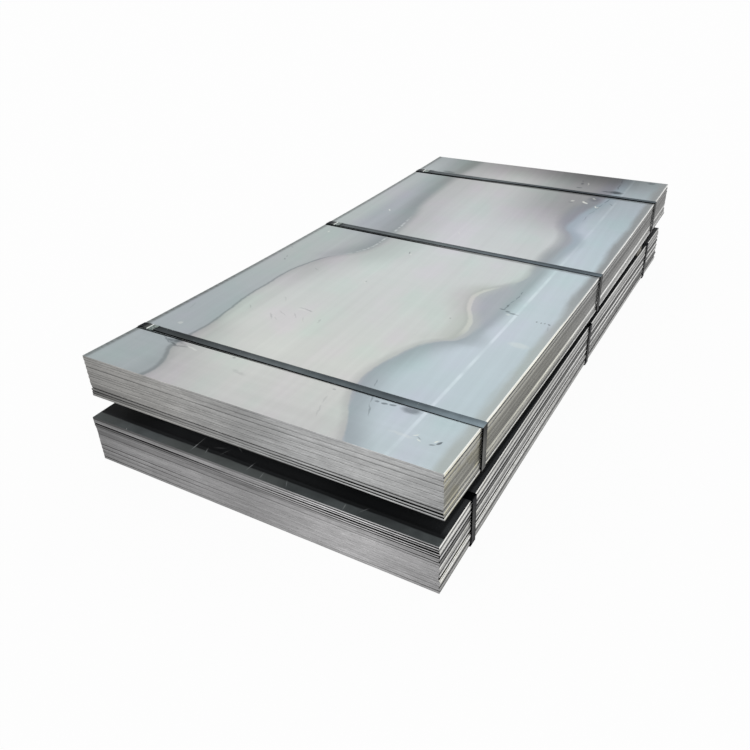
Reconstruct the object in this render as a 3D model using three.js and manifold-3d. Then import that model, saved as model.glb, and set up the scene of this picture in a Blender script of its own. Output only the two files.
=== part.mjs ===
// Strapped stack of steel plate: two bundles, the upper one carried on two timber bearers.
// Millimetres, +Z up. X runs across the plates, Y runs along them and the floor is z = 0.

import {
  Box3, BoxGeometry, BufferAttribute, BufferGeometry, ExtrudeGeometry, Group, Matrix4, Mesh,
  MeshStandardMaterial, Path, Shape, Vector3,
} from 'three';
import { mergeVertices } from 'three/addons/utils/BufferGeometryUtils.js';
import Module from 'manifold-3d';

const wasm = await Module();
wasm.setup();

// ---- Driving dimensions ----

const PLATE_WIDTH = 1250;
const PLATE_LENGTH = 2500;
const PLATE_THICKNESS = 8;
const PLATE_SEGMENTS = 12; // straight runs that make up a plate's long curve

const UPPER_SAG = 18; // the middle of the upper bundle hangs this far below its ends
const LOWER_CAMBER = 7; // the long edges of the lower bundle bow sideways by this much
const LOWER_SHIFT_X = -3.5;
const LOWER_SHIFT_Y = -23.7;
const LOWER_TURN = 0.12; // degrees about Z

const STRAP_WIDTH = 32;
const STRAP_THICKNESS = 1;
const STRAP_BEND = 0.8; // inner radius where a strap turns over a plate's edge
const STRAP_CLEARANCE = 0.5; // all round a bundle, at its outermost plates
const BEND_STEPS = 3;
const STRAP_INSET = 240; // from a plate's end to the strap nearest to it

const SEAL_LENGTH = 44;
const SEAL_WALL = 1.2;
const SEAL_CLEARANCE = 0.3;
const SEAL_INSET = 26; // from a bundle's left side to the near end of its seals
const CRIMP_WIDTH = 9;
const CRIMP_DEPTH = 0.9;
const CRIMP_SPACING = 18;
const CUT_OVERRUN = 1; // a cut passes this far beyond the face it goes through

const BEARER_WIDTH = 80;
const BEARER_HEIGHT = 62;
const BEARER_LENGTH = 1150;
const BEARER_CHAMFER = 3;
const BEARER_INSET = 450; // from a plate's end to the bearer nearest to it
const SEAT_GAP = 0.3; // between a bearer and the steel above and below it

// Each row is one plate, from the bottom up: how much wider it was cut than the nominal width,
// how far it has slipped along the bundle, and the gap that its two ends leave to the plate
// above. The left sides of a bundle's plates are flush.
const UPPER_ROWS = [
  { extra: 3, y: -2, gap: 1.2 },
  { extra: 0.5, y: -1, gap: 2.8 },
  { extra: 0, y: -1, gap: 2.4 },
  { extra: -2.5, y: 2, gap: 0.2 },
  { extra: -1, y: 1, gap: 0.2 },
  { extra: -1, y: 0, gap: 0.2 },
  { extra: -1.5, y: 1, gap: 0.2 },
  { extra: -1, y: 0, gap: 0.2 },
  { extra: -1, y: 1, gap: 0.2 },
  { extra: -1, y: 0, gap: 0.2 },
  { extra: -1.5, y: 1, gap: 0.2 },
  { extra: -0.5, y: 0, gap: 0.2 },
  { extra: 0, y: 1, gap: 0.2 },
  { extra: -2, y: 0, gap: 0.2 },
  { extra: -0.5, y: 1, gap: 0.2 },
  { extra: -2.5, y: 0, gap: 0.2 },
  { extra: 0, y: 0, gap: 0 },
];
const LOWER_ROWS = [
  { extra: 0, y: 1.5, gap: 0.4 },
  { extra: 2, y: 1.5, gap: 0.4 },
  { extra: -2, y: 2, gap: 0.4 },
  { extra: 0, y: 1.5, gap: 0.4 },
  { extra: 3, y: 2, gap: 0.4 },
  { extra: -1, y: 1.5, gap: 0.4 },
  { extra: -3, y: 2, gap: 0.4 },
  { extra: 1.5, y: 2, gap: 0.4 },
  { extra: -2, y: 2, gap: 0.4 },
  { extra: 1.5, y: 2.5, gap: 0.4 },
  { extra: 0, y: 2, gap: 0.4 },
  { extra: -2, y: 2.5, gap: 0.4 },
  { extra: 1, y: 3, gap: 0.3 },
  { extra: -3, y: 2.5, gap: 0.3 },
  { extra: 1.5, y: 2.5, gap: 0.4 },
  { extra: -2.5, y: 1.5, gap: 1.1 },
  { extra: 1.5, y: 0, gap: 1.4 },
  { extra: 1, y: 0, gap: 0.4 },
  { extra: -1, y: 0, gap: 0.2 },
  { extra: 0, y: 0, gap: 0 },
];

// Where each piece lies along its bundle: from the near end (-1), the middle (0) or the far
// end (1), and shifted from there. Turns are about Z, in degrees.
const UPPER_STRAPS = [
  { name: 'front', end: -1, shift: -2, turn: -0.4 },
  { name: 'middle', end: 0, shift: 97, turn: -2.1 },
  { name: 'back', end: 1, shift: -36, turn: -0.9 },
];
const LOWER_STRAPS = [
  { name: 'front', end: -1, shift: -28, turn: 0 },
  { name: 'middle', end: 0, shift: 74, turn: 0 },
  { name: 'back', end: 1, shift: -8, turn: 0 },
];
const BEARERS = [
  { name: 'front', end: -1, shift: 0, x: -12 },
  { name: 'back', end: 1, shift: 50, x: 35 },
];

// ---- Materials ----

const MATERIALS = {
  plate: { color: 0xa9aaa6, roughness: 0.45, metalness: 0.85 },
  strap: { color: 0x2b3036, roughness: 0.4, metalness: 0.7 },
  seal: { color: 0x5c6266, roughness: 0.35, metalness: 0.8 },
  timber: { color: 0x8f8069, roughness: 0.85, metalness: 0 },
};

// ---- Helpers ----

const radians = (degrees) => degrees * Math.PI / 180;
const sum = (values) => values.reduce((total, value) => total + value, 0);
const yOf = (place, inset) => place.end * (PLATE_LENGTH / 2 - inset) + place.shift;

function namedMesh(name, geometry, material) {
  const mesh = new Mesh(geometry, new MeshStandardMaterial(MATERIALS[material]));
  mesh.name = name;
  return mesh;
}

function extrude(shape, depth) {
  return new ExtrudeGeometry(shape, { depth, bevelEnabled: false, curveSegments: BEND_STEPS });
}

// Extrudes a shape drawn in the YZ plane along X, centred on x = 0.
function extrudeAlongX(shape, width) {
  const toWorld = new Matrix4().makeBasis(
    new Vector3(0, 1, 0), new Vector3(0, 0, 1), new Vector3(1, 0, 0));
  return extrude(shape, width).applyMatrix4(toWorld).translate(-width / 2, 0, 0);
}

// Extrudes a shape drawn in the XZ plane along Y, centred on y = 0.
function extrudeAlongY(shape, width) {
  return extrude(shape, width).rotateX(Math.PI / 2).translate(0, width / 2, 0);
}

function roundedRectangle(width, height, radius, Outline) {
  const right = width / 2;
  const top = height / 2;
  const outline = new Outline();
  outline.moveTo(-right + radius, -top);
  outline.lineTo(right - radius, -top);
  outline.absarc(right - radius, -top + radius, radius, -Math.PI / 2, 0);
  outline.lineTo(right, top - radius);
  outline.absarc(right - radius, top - radius, radius, 0, Math.PI / 2);
  outline.lineTo(-right + radius, top);
  outline.absarc(-right + radius, top - radius, radius, Math.PI / 2, Math.PI);
  outline.lineTo(-right, -top + radius);
  outline.absarc(-right + radius, -top + radius, radius, Math.PI, 1.5 * Math.PI);
  return outline;
}

function toSolid(geometry) {
  const bare = geometry.clone();
  bare.deleteAttribute('normal');
  bare.deleteAttribute('uv');
  const merged = mergeVertices(bare);
  return new wasm.Manifold(new wasm.Mesh({
    numProp: 3,
    vertProperties: merged.attributes.position.array,
    triVerts: new Uint32Array(merged.index.array),
  }));
}

function toGeometry(solid) {
  const mesh = solid.getMesh();
  const geometry = new BufferGeometry();
  geometry.setAttribute('position', new BufferAttribute(mesh.vertProperties, 3));
  geometry.setIndex(new BufferAttribute(mesh.triVerts, 1));
  return geometry;
}

// ---- The long curve of a plate ----

const knots = Array.from({ length: PLATE_SEGMENTS + 1 },
  (_, index) => PLATE_LENGTH * (index / PLATE_SEGMENTS - 0.5));

// 0 in the middle of the length and 1 at both ends.
const endShare = (y) => (2 * y / PLATE_LENGTH) ** 2;

// The straight-run curve through height(y) at the knots, so that plates which have slipped
// along each other still lie parallel. It carries on past the last knot.
function alongKnots(height, y) {
  const run = PLATE_LENGTH / PLATE_SEGMENTS;
  const last = PLATE_SEGMENTS - 1;
  const index = Math.min(last, Math.max(0, Math.floor(y / run + PLATE_SEGMENTS / 2)));
  const share = (y - knots[index]) / run;
  return height(knots[index]) * (1 - share) + height(knots[index + 1]) * share;
}

// A flat blank with one section for each knot, bent to the height and the sideways bow.
function plateGeometry(width, bottom, slipY, camber) {
  const blank = new BoxGeometry(width, PLATE_LENGTH, PLATE_THICKNESS, 1, PLATE_SEGMENTS, 1);
  const places = [...knots];
  places[0] += slipY;
  places[PLATE_SEGMENTS] += slipY;
  const bow = (y) => -camber * (1 - endShare(y));
  const position = blank.attributes.position;
  for (let index = 0; index < position.count; index += 1) {
    const section = Math.round((position.getY(index) / PLATE_LENGTH + 0.5) * PLATE_SEGMENTS);
    const y = places[section];
    const x = position.getX(index) + alongKnots(bow, y);
    const above = position.getZ(index) > 0 ? PLATE_THICKNESS : 0;
    position.setXYZ(index, x, y, alongKnots(bottom, y) + above);
  }
  return blank;
}

// ---- One bundle: its plates, straps and seals ----

// A plate's ends stand apart from the plate above by the gap of its row. In the middle every
// gap is the same, so the bundle is equally high all along.
function addPlates(bundle, spec) {
  const gaps = spec.rows.slice(0, -1).map((row) => row.gap);
  const middleGap = sum(gaps) / gaps.length;
  spec.rows.forEach((row, index) => {
    const below = gaps.slice(0, index);
    const bottom = (y) => {
      const packing = index * middleGap * (1 - endShare(y)) + sum(below) * endShare(y);
      return spec.sag * (endShare(y) - 1) + index * PLATE_THICKNESS + packing;
    };
    const number = String(index + 1).padStart(2, '0');
    const width = PLATE_WIDTH + row.extra;
    const geometry = plateGeometry(width, bottom, row.y, spec.camber);
    const plate = namedMesh(`${spec.name}_plate_${number}`, geometry, 'plate');
    plate.position.x = row.extra / 2;
    bundle.add(plate);
  });
}

function bundleHeight(rows) {
  return rows.length * PLATE_THICKNESS + sum(rows.slice(0, -1).map((row) => row.gap));
}

// Each strap is a closed band round the bundle, square to the plates where it lies.
function addStraps(bundle, spec) {
  const extra = Math.max(...spec.rows.map((row) => row.extra));
  const height = bundleHeight(spec.rows);
  spec.straps.forEach((place) => {
    const y = yOf(place, STRAP_INSET);
    const turn = radians(place.turn);
    const across = (PLATE_WIDTH + extra) / Math.cos(turn)
      + STRAP_WIDTH * Math.abs(Math.tan(turn)) + 2 * STRAP_CLEARANCE;
    const high = height + 2 * STRAP_CLEARANCE;
    const sagAt = (along) => alongKnots((knot) => spec.sag * (endShare(knot) - 1), along);
    const camberAt = alongKnots((knot) => -spec.camber * (1 - endShare(knot)), y);
    const reach = STRAP_WIDTH / 2;
    const slope = (sagAt(y + reach) - sagAt(y - reach)) / STRAP_WIDTH;
    const group = new Group();
    group.position.set(extra / 2 + camberAt, y, sagAt(y) + height / 2);
    group.rotation.set(Math.atan(slope), 0, turn, 'XZY');
    group.add(namedMesh(`${spec.name}_strap_${place.name}`, strapGeometry(across, high), 'strap'));
    const seal = namedMesh(`${spec.name}_seal_${place.name}`, sealGeometry(), 'seal');
    seal.position.set(-across / 2 + SEAL_INSET + SEAL_LENGTH / 2, 0, high / 2);
    group.add(seal);
    bundle.add(group);
  });
}

function strapGeometry(innerWidth, innerHeight) {
  const width = innerWidth + 2 * STRAP_THICKNESS;
  const height = innerHeight + 2 * STRAP_THICKNESS;
  const shape = roundedRectangle(width, height, STRAP_BEND + STRAP_THICKNESS, Shape);
  shape.holes.push(roundedRectangle(innerWidth, innerHeight, STRAP_BEND, Path));
  return extrudeAlongY(shape, STRAP_WIDTH);
}

// A folded clip that straddles the strap, with crimps pressed into both long sides. Its
// origin is on the strap's inner face, at the middle of the clip.
function sealGeometry() {
  const half = STRAP_WIDTH / 2 + SEAL_CLEARANCE + SEAL_WALL;
  const top = STRAP_THICKNESS + SEAL_CLEARANCE + SEAL_WALL;
  const outline = new Shape();
  const crimps = [-CRIMP_SPACING / 2, CRIMP_SPACING / 2];
  outline.moveTo(-SEAL_LENGTH / 2, -half);
  crimps.forEach((x) => addCrimp(outline, x, -half, 1));
  outline.lineTo(SEAL_LENGTH / 2, -half);
  outline.lineTo(SEAL_LENGTH / 2, half);
  [...crimps].reverse().forEach((x) => addCrimp(outline, x, half, -1));
  outline.lineTo(-SEAL_LENGTH / 2, half);
  const block = extrude(outline, top);
  const channel = new Shape();
  channel.moveTo(-half + SEAL_WALL, -STRAP_CLEARANCE);
  channel.lineTo(half - SEAL_WALL, -STRAP_CLEARANCE);
  channel.lineTo(half - SEAL_WALL, top - SEAL_WALL);
  channel.lineTo(-half + SEAL_WALL, top - SEAL_WALL);
  const passage = extrudeAlongX(channel, SEAL_LENGTH + 2 * CUT_OVERRUN);
  return toGeometry(toSolid(block).subtract(toSolid(passage)));
}

function addCrimp(outline, x, side, inward) {
  const along = side < 0 ? 1 : -1;
  outline.lineTo(x - along * CRIMP_WIDTH / 2, side);
  outline.lineTo(x, side + inward * CRIMP_DEPTH);
  outline.lineTo(x + along * CRIMP_WIDTH / 2, side);
}

// ---- Timber bearers ----

const upperSagAt = (y) => alongKnots((knot) => UPPER_SAG * (endShare(knot) - 1), y);
const firstBearerSag = upperSagAt(yOf(BEARERS[0], BEARER_INSET));

// The first bearer has the full height. Every bearer is cut to the slope of the plates on it.
function bearerGeometry(y) {
  const half = BEARER_WIDTH / 2;
  const inner = half - BEARER_CHAMFER;
  const topAt = (offset) => BEARER_HEIGHT + upperSagAt(y + offset) - firstBearerSag;
  const shape = new Shape();
  shape.moveTo(-inner, 0);
  shape.lineTo(inner, 0);
  shape.lineTo(half, BEARER_CHAMFER);
  shape.lineTo(half, topAt(half) - BEARER_CHAMFER);
  shape.lineTo(inner, topAt(inner));
  shape.lineTo(-inner, topAt(-inner));
  shape.lineTo(-half, topAt(-half) - BEARER_CHAMFER);
  shape.lineTo(-half, BEARER_CHAMFER);
  return extrudeAlongX(shape, BEARER_LENGTH);
}

// ---- The whole stack ----

function makeBundle(spec) {
  const bundle = new Group();
  addPlates(bundle, spec);
  addStraps(bundle, spec);
  return bundle;
}

const lower = makeBundle({
  name: 'lower', rows: LOWER_ROWS, straps: LOWER_STRAPS, sag: 0, camber: LOWER_CAMBER,
});
const lowerBase = STRAP_THICKNESS + STRAP_CLEARANCE;
lower.position.set(LOWER_SHIFT_X, LOWER_SHIFT_Y, lowerBase);
lower.rotation.z = radians(LOWER_TURN);

const upper = makeBundle({
  name: 'upper', rows: UPPER_ROWS, straps: UPPER_STRAPS, sag: UPPER_SAG, camber: 0,
});
const bearerBase = lowerBase + bundleHeight(LOWER_ROWS) + SEAT_GAP;
upper.position.z = bearerBase + BEARER_HEIGHT + SEAT_GAP - firstBearerSag;

const bearers = BEARERS.map((place) => {
  const y = yOf(place, BEARER_INSET);
  const bearer = namedMesh(`bearer_${place.name}`, bearerGeometry(y), 'timber');
  bearer.position.set(place.x, y, bearerBase);
  return bearer;
});

const stack = new Group();
stack.add(lower, ...bearers, upper);

// The origin is on the floor, under the middle of everything.
const bounds = new Box3().setFromObject(stack);
const middle = bounds.getCenter(new Vector3());
stack.position.set(-middle.x, -middle.y, -bounds.min.z);

export default stack;
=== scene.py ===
"""Looks of a strapped stack of steel plates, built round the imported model. Metres, +Z up."""

import json
import math

import bpy
import numpy as np
from mathutils import Matrix, Vector, noise


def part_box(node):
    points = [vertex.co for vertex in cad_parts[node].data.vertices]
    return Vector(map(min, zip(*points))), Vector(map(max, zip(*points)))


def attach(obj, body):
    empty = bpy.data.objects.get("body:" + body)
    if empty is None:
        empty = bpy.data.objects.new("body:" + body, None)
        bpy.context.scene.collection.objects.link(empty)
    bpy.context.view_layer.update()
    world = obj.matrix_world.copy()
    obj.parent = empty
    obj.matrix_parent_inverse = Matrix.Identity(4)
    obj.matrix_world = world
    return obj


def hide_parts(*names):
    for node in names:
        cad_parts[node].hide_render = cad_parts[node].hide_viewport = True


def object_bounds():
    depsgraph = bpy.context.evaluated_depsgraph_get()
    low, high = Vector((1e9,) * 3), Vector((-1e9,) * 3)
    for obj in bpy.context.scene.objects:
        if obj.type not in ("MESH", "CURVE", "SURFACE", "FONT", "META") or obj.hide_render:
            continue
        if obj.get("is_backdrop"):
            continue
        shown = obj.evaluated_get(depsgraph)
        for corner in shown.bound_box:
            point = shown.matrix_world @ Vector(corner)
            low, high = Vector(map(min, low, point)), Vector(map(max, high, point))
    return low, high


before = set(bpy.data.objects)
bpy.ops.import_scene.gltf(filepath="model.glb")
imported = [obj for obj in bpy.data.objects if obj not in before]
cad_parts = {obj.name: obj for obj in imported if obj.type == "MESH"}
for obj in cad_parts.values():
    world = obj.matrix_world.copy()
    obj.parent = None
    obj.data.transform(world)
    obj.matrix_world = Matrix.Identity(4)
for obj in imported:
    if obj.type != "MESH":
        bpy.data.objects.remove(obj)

cad_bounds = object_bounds()

MM = 0.001
PLATE_LENGTH = 2500 * MM
PLATE_WIDTH = 1250 * MM
STRAP_WIDTH = 32 * MM
STRAP_THICKNESS = 1 * MM
TOP_PLATE = "upper_plate_17"

# The near left corner of the top plate, from which everything on it is measured.
low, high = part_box(TOP_PLATE)
CORNER = Vector((low[0], low[1], high[2]))


# ---- Camera, light and floor ----

CAMERA_FROM_CORNER = Vector((1835.35, -1219.37, 1114.16)) * MM
CAMERA_RIGHT = Vector((0.8722, 0.4885, -0.0256))
CAMERA_UP = Vector((-0.2330, 0.4609, 0.8563))
FOCAL_PIXELS = 729.493
PICTURE_PIXELS = 750
PRINCIPAL_POINT = (396.450, 366.848)
SENSOR = 36

KEY_STRENGTH = 1.25
KEY_FROM = Vector((0.30, -0.306, 1))
KEY_SIZE = 5  # degrees
AMBIENT = 0.55
FLOOR_SIZE = 120
FLOOR_GREY = 0.9
FLOOR_GLOW = 0.92


def add_camera():
    data = bpy.data.cameras.new("camera")
    data.sensor_width = SENSOR
    data.lens = FOCAL_PIXELS / PICTURE_PIXELS * SENSOR
    data.shift_x = 0.5 - PRINCIPAL_POINT[0] / PICTURE_PIXELS
    data.shift_y = PRINCIPAL_POINT[1] / PICTURE_PIXELS - 0.5
    camera = bpy.data.objects.new("camera", data)
    back = CAMERA_RIGHT.cross(CAMERA_UP).normalized()
    up = back.cross(CAMERA_RIGHT).normalized()
    turn = Matrix((up.cross(back), up, back)).transposed()
    camera.matrix_world = Matrix.Translation(CORNER + CAMERA_FROM_CORNER) @ turn.to_4x4()
    bpy.context.scene.collection.objects.link(camera)
    bpy.context.scene.camera = camera


def seen_directly(g):
    """1 for what the camera sees, straight or in metal and glass, and 0 for the light on things."""
    path = g.node("LightPath").outputs
    return g.greatest(path["Is Camera Ray"], path["Is Glossy Ray"], path["Is Transmission Ray"])


def add_light():
    lamp = bpy.data.lights.new("key", "SUN")
    lamp.energy = KEY_STRENGTH
    lamp.angle = math.radians(KEY_SIZE)
    key = bpy.data.objects.new("key", lamp)
    key.rotation_euler = KEY_FROM.to_track_quat("Z", "Y").to_euler()
    bpy.context.scene.collection.objects.link(key)
    world = bpy.data.worlds.new("studio")
    bpy.context.scene.world = world
    world.use_nodes = True
    g = Graph(world.node_tree)
    strength = g.mix_value(seen_directly(g), AMBIENT, 1)
    background = g.node("Background", {"Color": (1, 1, 1, 1), "Strength": strength})
    g.node("OutputWorld", {"Surface": background.outputs[0]})


def add_floor():
    half = FLOOR_SIZE / 2
    corners = [(-half, -half, 0), (half, -half, 0), (half, half, 0), (-half, half, 0)]
    add_mesh("floor", corners, [(0, 1, 2, 3)], [floor_material()])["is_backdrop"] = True


# ---- Shader nodes ----

NOISE_REACH = (0.3, 0.7)  # most of a noise's values lie between these
SCREEN_POWER = 2.2  # takes a screen grey of 0 to 1 to about the linear one


def linear(colour):
    """A screen colour, three numbers up to 255, as the linear colour that a shader takes."""
    shares = [value / 255 for value in colour]
    return (*(s / 12.92 if s <= 0.04045 else ((s + 0.055) / 1.055) ** 2.4 for s in shares), 1)


class Value:
    """A node's output to reckon with: each operation on it adds a math node, or a vector math
    node where it holds a point, a direction or a colour."""

    def __init__(self, graph, socket):
        self.socket = socket
        self.math = graph.math if socket.type == "VALUE" else graph.vector

    def __add__(self, other):
        return self.math("ADD", self, other)

    def __sub__(self, other):
        return self.math("SUBTRACT", self, other)

    def __rsub__(self, other):
        return self.math("SUBTRACT", other, self)

    def __mul__(self, other):
        return self.math("MULTIPLY", self, other)

    def __neg__(self):
        return self * -1

    def __pow__(self, power):
        return self.math("POWER", self, power)

    def __abs__(self):
        return self.math("ABSOLUTE", self)


class Graph:
    """Adds nodes to a tree. An input may be a number, a node's output or a colour: a screen
    colour of three numbers up to 255, or a linear one of four. A vector's input may be one
    number for all its axes."""

    def __init__(self, tree):
        self.tree = tree
        tree.nodes.clear()

    def node(self, kind, inputs=None, **settings):
        node = self.tree.nodes.new("ShaderNode" + kind)
        for key, value in settings.items():
            setattr(node, key, value)
        for key, value in (inputs or {}).items():
            self.feed(node.inputs[key], value)
        return node

    def node_output(self, kind, inputs=None, which=0, **settings):
        return Value(self, self.node(kind, inputs, **settings).outputs[which])

    def feed(self, socket, value):
        value = getattr(value, "socket", value)
        if isinstance(value, bpy.types.NodeSocket):
            self.tree.links.new(value, socket)
        elif socket.type == "RGBA" and len(value) == 3:
            socket.default_value = linear(value)
        elif socket.type == "VECTOR" and isinstance(value, (int, float)):
            socket.default_value = (value,) * 3
        else:
            socket.default_value = value

    def math(self, operation, *values):
        return self.node_output("Math", dict(enumerate(values)), operation=operation)

    def vector(self, operation, *values):
        return self.node_output("VectorMath", dict(enumerate(values)), operation=operation)

    def greatest(self, first, *others):
        for value in others:
            first = self.math("MAXIMUM", first, value)
        return first

    def ramp(self, value, start, end, low=0.0, high=1.0, kind="LINEAR"):
        """From low where value is at start to high where it is at end, levelling off at both."""
        inputs = {"Value": value, "From Min": start, "From Max": end, "To Min": low, "To Max": high}
        return self.node_output("MapRange", inputs, interpolation_type=kind)

    def smooth(self, value, start, end, low=0.0, high=1.0):
        return self.ramp(value, start, end, low, high, "SMOOTHSTEP")

    def vary(self, noise_value, low, high):
        """A number that follows a noise between low and high."""
        return self.ramp(noise_value, *NOISE_REACH, low, high)

    def mix(self, factor, a, b, blend="MIX"):
        inputs = {0: factor, 6: a, 7: b}
        return self.node_output("Mix", inputs, 2, data_type="RGBA", blend_type=blend)

    def mix_value(self, factor, a, b):
        return self.node_output("Mix", {0: factor, 2: a, 3: b}, data_type="FLOAT")

    def noise(self, place, scale, detail=2.0, roughness=0.5, which=0):
        inputs = {"Vector": place, "Scale": scale, "Detail": detail, "Roughness": roughness}
        return self.node_output("TexNoise", inputs, which)

    def curve(self, value, points):
        """A smooth curve through (in, out) points, all between 0 and 1."""
        node = self.node("FloatCurve", {"Value": value})
        line = node.mapping.curves[0]
        while len(line.points) < len(points):
            line.points.new(0.5, 0.5)
        for point, location in zip(line.points, points):
            point.location = location
        node.mapping.update()
        return Value(self, node.outputs[0])

    def colours(self, value, stops):
        """A colour ramp. Each stop is its place from 0 to 1 and its screen colour."""
        node = self.node("ValToRGB", {"Fac": value})
        elements = node.color_ramp.elements
        while len(elements) < len(stops):
            elements.new(0.5)
        for element, (place, *colour) in zip(elements, stops):
            element.position = place
            element.color = linear(colour)
        return Value(self, node.outputs[0])

    def place(self):
        """The point in the row frame: every piece has its origin there."""
        return self.node_output("TexCoord", which="Object")

    def split(self, vector):
        node = self.node("SeparateXYZ", {"Vector": vector})
        return [Value(self, socket) for socket in node.outputs]

    def facing(self):
        """How much the face looks along each axis, either way."""
        normal = self.node_output("NewGeometry", which="True Normal")
        return self.split(abs(normal))

    def attribute(self, name):
        return self.node_output("Attribute", which="Fac", attribute_name=name)

    def bump(self, height, distance, strength, normal=None):
        inputs = {"Height": height, "Distance": distance, "Strength": strength}
        if normal is not None:
            inputs["Normal"] = normal
        return self.node_output("Bump", inputs)

    def surface(self, **inputs):
        """The Principled shader, and the output it goes to."""
        named = {key.replace("_", " ").title().replace("Ior", "IOR"): value
                 for key, value in inputs.items()}
        shader = self.node("BsdfPrincipled", named)
        self.node("OutputMaterial", {"Surface": shader.outputs[0]})


def new_material(name):
    material = bpy.data.materials.new(name)
    material.use_nodes = True
    return material, Graph(material.node_tree)


def floor_material():
    material, g = new_material("floor")
    matt = g.node("BsdfDiffuse", {"Color": (FLOOR_GREY, FLOOR_GREY, FLOOR_GREY, 1)})
    glow = g.node("Emission", {"Color": (1, 1, 1, 1)})
    share = seen_directly(g) * FLOOR_GLOW
    both = g.node("MixShader", {0: share, 1: matt.outputs[0], 2: glow.outputs[0]})
    g.node("OutputMaterial", {"Surface": both.outputs[0]})
    return material


# ---- Marks on the top plates ----

# The two edges of the pale middle of the top plate, and where the blue edge band begins, as
# (distance from the near end, distance from the left side) in millimetres.
LEFT_EDGE = [
    (0, 260), (50, 266), (120, 242), (180, 208), (280, 202), (370, 204), (450, 194), (600, 172),
    (700, 172), (800, 168), (950, 194), (1025, 224), (1060, 252), (1120, 306), (1200, 336),
    (1300, 342), (1380, 338), (1520, 322), (1620, 308), (1750, 275), (1900, 255), (2050, 246),
    (2200, 244), (2325, 256), (2500, 266),
]
RIGHT_EDGE = [
    (0, 962), (100, 915), (160, 880), (245, 847), (320, 840), (450, 860), (540, 892), (600, 932),
    (632, 972), (685, 983), (760, 975), (870, 924), (930, 905), (960, 903), (1010, 918),
    (1060, 952), (1105, 984), (1180, 1012), (1290, 1004), (1450, 995), (1550, 1008), (1663, 990),
    (1750, 950), (1850, 925), (2000, 930), (2090, 962), (2300, 975), (2500, 985),
]
BLUE_EDGE = [
    (0, 970), (160, 888), (320, 848), (450, 868), (540, 902), (600, 947), (632, 990), (700, 1015),
    (800, 1030), (900, 1036), (1100, 1044), (1350, 1046), (1500, 1056), (1600, 1062), (1680, 1035),
    (1750, 992), (1850, 990), (2000, 1010), (2100, 1035), (2200, 1045), (2500, 1050),
]


def edge_curve(g, share, points):
    """Distance from the left side, in metres, where a stain's edge lies at a share of the length."""
    scaled = [(y * MM / PLATE_LENGTH, x * MM / PLATE_WIDTH) for y, x in points]
    return g.curve(share, scaled) * PLATE_WIDTH


# Smudges on the top plate: centre and half sizes in millimetres, turn in degrees, strength.
DARK_SPOTS = [
    (1050, 207, 38, 22, 0, 0.55), (945, 204, 9, 5, 0, 0.5), (969, 205, 13, 6, 0, 0.6),
    (993, 207, 15, 6, 0, 0.6), (1050, 2280, 46, 26, 0, 0.95), (1006, 2277, 26, 10, 0, 0.7),
    (872, 2288, 20, 8, 0, 0.6), (868, 2350, 10, 15, 0, 0.6), (985, 2150, 36, 44, 0, 0.35),
    (1175, 2474, 26, 22, 0, 0.5), (72, 2250, 26, 18, 20, 0.8), (170, 2268, 48, 20, -12, 0.5),
    (1032, 903, 15, 6, 0, 0.45), (1055, 893, 11, 8, 0, 0.5), (1074, 886, 17, 7, 0, 0.5),
    (1092, 884, 8, 5, 0, 0.4), (1167, 865, 4, 6, 0, 0.6), (1182, 865, 4, 6, 0, 0.6),
    (1198, 866, 5, 7, 0, 0.6), (1212, 864, 5, 7, 0, 0.6), (430, 211, 8, 5, 0, 0.5),
    (500, 148, 40, 9, -10, 0.12), (897, 2070, 14, 8, 0, 0.3), (804, 202, 8, 7, 0, 0.3),
    (182, 212, 44, 12, 8, 0.6), (238, 196, 20, 6, 8, 0.3),
]

# Scratches on it: the two ends and the half width in millimetres, strength.
DARK_LINES = [
    (885, 312, 898, 262, 3, 0.3), (916, 226, 934, 188, 3, 0.35), (930, 194, 963, 124, 3, 0.38),
    (1190, 118, 1177, 95, 4, 0.75), (1180, 97, 1160, 88, 3, 0.6), (1116, 108, 1140, 99, 3, 0.35),
    (803, 172, 816, 118, 4, 0.14), (814, 122, 840, 56, 4, 0.14), (1040, 1070, 1047, 1036, 3, 0.45),
    (1046, 1044, 1043, 984, 3, 0.4), (1044, 990, 1037, 952, 3, 0.45),
    (1041, 962, 1035, 896, 4, 0.5), (898, 766, 908, 756, 4, 0.3), (1029, 2496, 1041, 2415, 4, 0.5),
    (1040, 2425, 1048, 2310, 4, 0.5), (1054, 2196, 1040, 2106, 4, 0.5),
    (1041, 2116, 1029, 2004, 4, 0.4), (1031, 2014, 1017, 1936, 3, 0.35),
    (1018, 1946, 1020, 1850, 3, 0.3), (1060, 2124, 1088, 2096, 5, 0.3),
    (854, 2408, 868, 2362, 5, 0.4), (122, 222, 190, 188, 5, 0.45), (160, 206, 232, 180, 5, 0.5),
    (184, 180, 266, 197, 5, 0.4), (200, 208, 250, 204, 4, 0.3), (384, 598, 466, 592, 3, 0.28),
    (434, 595, 460, 587, 3, 0.3), (514, 558, 523, 520, 5, 0.2), (344, 550, 398, 518, 3, 0.18),
    (328, 522, 374, 474, 4, 0.2), (400, 562, 442, 518, 3, 0.16), (450, 547, 480, 498, 3, 0.16),
    (362, 502, 388, 480, 5, 0.2), (222, 542, 252, 512, 3, 0.2), (290, 655, 330, 612, 3, 0.12),
    (494, 1229, 511, 1197, 5, 0.45), (482, 902, 495, 884, 4, 0.25), (238, 919, 270, 901, 4, 0.2),
    (62, 977, 75, 956, 4, 0.3), (70, 948, 86, 928, 5, 0.35), (18, 1064, 36, 1054, 4, 0.3),
    (38, 470, 60, 410, 5, 0.12), (1207, 857, 1226, 812, 3, 0.2),
]
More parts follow.
